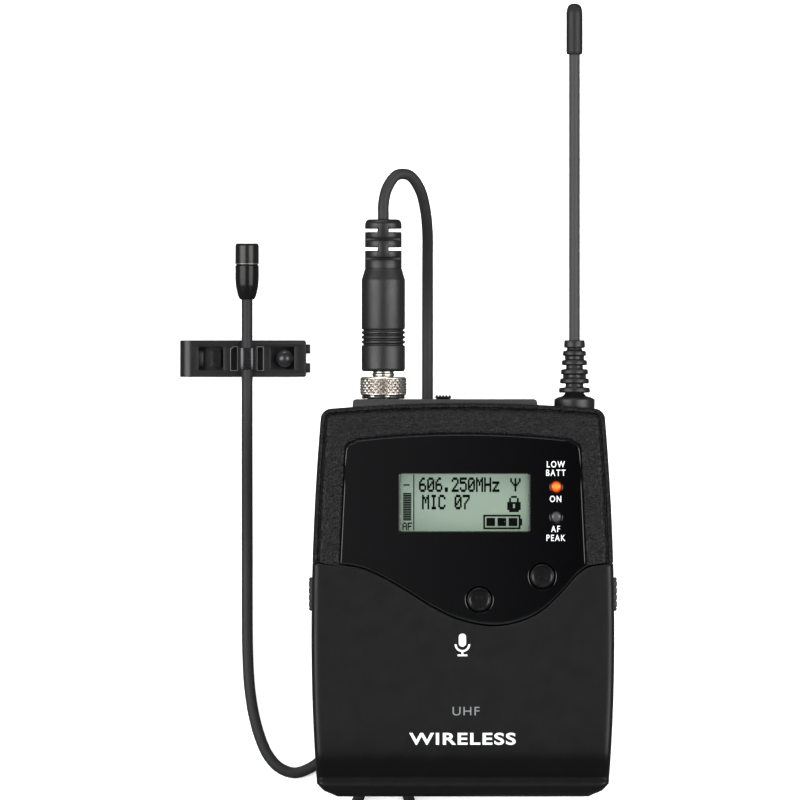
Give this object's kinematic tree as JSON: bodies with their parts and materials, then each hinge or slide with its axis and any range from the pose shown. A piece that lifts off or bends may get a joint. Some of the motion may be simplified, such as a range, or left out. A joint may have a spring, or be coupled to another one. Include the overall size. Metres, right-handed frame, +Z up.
{
  "type": "lavalier microphone",
  "caption": "Clip-on lavalier microphone with tie clip, thin cable and screw-lock plug, fitted to a body-pack transmitter with display, whip antenna, hinged battery cover and wire belt clip.",
  "frame": {"origin": "centre of the bounding box of everything but the cable, on the surface the set lies on", "axes": "+Z up out of the display, +Y along the antenna towards its tip, +X towards the antenna's side of the pack"},
  "size_m": [0.0906, 0.2072, 0.0332],
  "materials": {
    "shell_plastic": "fine textured matt black",
    "panel_gloss": "polished black",
    "window_clear": "clear moulded window",
    "lcd_green": "grey-green liquid crystal display",
    "led_lit": "lit red lens",
    "led_dark": "smoked lens",
    "key_plastic": "satin black",
    "rubber_black": "soft black",
    "steel": "bright steel",
    "nickel": "nickel plate",
    "black_metal": "blackened spring steel",
    "mic_metal": "satin black",
    "mic_black": "gloss black",
    "brass": "plain",
    "board_green": "solder mask",
    "battery_skin": "printed label",
    "cable_jacket": "soft matt jacket"
  },
  "bodies": {
    "pack": {"rear_housing": "shell_plastic", "front_housing": "shell_plastic", "top_plate": "shell_plastic", "case_screw_1": "steel", "case_screw_2": "steel", "case_screw_3": "steel", "case_screw_4": "steel", "display_panel": "panel_gloss", "display_window": "window_clear", "lcd_frame": "key_plastic", "lcd_module": "lcd_green", "led_power": "led_lit", "led_peak": "led_dark", "button_mat": "rubber_black", "main_board": "board_green", "shield_can": "steel", "mute_switch": "steel", "jack_socket": "black_metal", "battery_tray": "shell_plastic", "battery_upper": "battery_skin", "battery_lower": "battery_skin", "battery_contact_left": "nickel", "battery_contact_right": "nickel", "cover_hinge_pin": "steel", "antenna_base": "brass", "antenna_boot": "rubber_black", "antenna_whip": "rubber_black", "antenna_tip": "rubber_black", "plug_tip": "nickel", "plug_insulator": "key_plastic", "plug_barrel": "nickel", "plug_sleeve": "shell_plastic", "plug_boot": "rubber_black", "mic_body": "mic_black", "mic_bush": "rubber_black", "mic_element": "steel", "mic_grille": "steel", "mic_cap": "mic_metal", "cable_plug_run": "cable_jacket", "cable_mic_run": "cable_jacket", "cable_coil": "cable_jacket", "cable_tie": "rubber_black"},
    "battery_cover": {"battery_cover": "shell_plastic"},
    "left_catch": {"left_catch": "key_plastic"},
    "right_catch": {"right_catch": "key_plastic"},
    "up_button": {"up_button": "key_plastic"},
    "down_button": {"down_button": "key_plastic"},
    "power_button": {"power_button": "key_plastic"},
    "set_button": {"set_button": "key_plastic"},
    "mute_slider": {"mute_slider": "key_plastic"},
    "belt_clip": {"belt_clip": "black_metal"},
    "nut_ring": {"nut_snap_ring": "steel"},
    "lock_nut": {"lock_nut": "nickel"},
    "tie_clip": {"clip_plate": "black_metal", "clip_cable_band": "black_metal", "clip_hinge_pin": "steel", "clip_spring": "steel"},
    "tie_clip_jaw": {"clip_jaw": "black_metal", "clip_teeth": "black_metal", "clip_dome": "black_metal"}
  },
  "joints": [
    {"name": "cover_hinge", "type": "hinge", "parent": "pack", "child": "battery_cover", "pos_m": [0.0133, -0.0798, 0.0282], "axis": [1, 0, 0], "range_deg": [0, 95]},
    {"name": "left_catch_press", "type": "slide", "parent": "battery_cover", "child": "left_catch", "axis": [1, 0, 0], "range_m": [0, 0.0007], "stiffness_N_per_m": 600, "springref_m": -0.0003},
    {"name": "right_catch_press", "type": "slide", "parent": "battery_cover", "child": "right_catch", "axis": [-1, 0, 0], "range_m": [0, 0.0007], "stiffness_N_per_m": 600, "springref_m": -0.0003},
    {"name": "up_press", "type": "slide", "parent": "pack", "child": "up_button", "axis": [0, 0, -1], "range_m": [0, 0.0005], "stiffness_N_per_m": 600, "springref_m": -0.0003},
    {"name": "down_press", "type": "slide", "parent": "pack", "child": "down_button", "axis": [0, 0, -1], "range_m": [0, 0.0005], "stiffness_N_per_m": 600, "springref_m": -0.0003},
    {"name": "power_press", "type": "slide", "parent": "pack", "child": "power_button", "axis": [0, 0, -1], "range_m": [0, 0.0003], "stiffness_N_per_m": 600, "springref_m": -0.0003},
    {"name": "set_press", "type": "slide", "parent": "pack", "child": "set_button", "axis": [0, 0, -1], "range_m": [0, 0.0003], "stiffness_N_per_m": 600, "springref_m": -0.0003},
    {"name": "mute_slide", "type": "slide", "parent": "pack", "child": "mute_slider", "axis": [1, 0, 0], "range_m": [-0.0018, 0.0018]},
    {"name": "belt_clip_hinge", "type": "hinge", "parent": "pack", "child": "belt_clip", "pos_m": [0.0133, -0.0215, 0.0064], "axis": [1, 0, 0], "range_deg": [0, 25], "stiffness_Nm_per_rad": 0.25, "springref_deg": -11.46},
    {"name": "nut_travel", "type": "slide", "parent": "pack", "child": "nut_ring", "axis": [0, 1, 0], "range_m": [0, 0.0009]},
    {"name": "nut_turn", "type": "hinge", "parent": "nut_ring", "child": "lock_nut", "pos_m": [-0.00314, 0.003, 0.021], "axis": [0, 1, 0], "range_deg": [0, 432]},
    {"name": "clip_slide", "type": "slide", "parent": "pack", "child": "tie_clip", "axis": [0, 1, 0], "range_m": [-0.006, 0.007]},
    {"name": "clip_jaw_hinge", "type": "hinge", "parent": "tie_clip", "child": "tie_clip_jaw", "pos_m": [-0.0429, 0.0085, 0.0024], "axis": [0, 1, 0], "range_deg": [0, 18], "stiffness_Nm_per_rad": 0.02, "springref_deg": -17.19}
  ],
  "couplings": [
    {"joint": "nut_turn", "follows": "nut_travel", "rad_per_m": 8377.5}
  ]
}
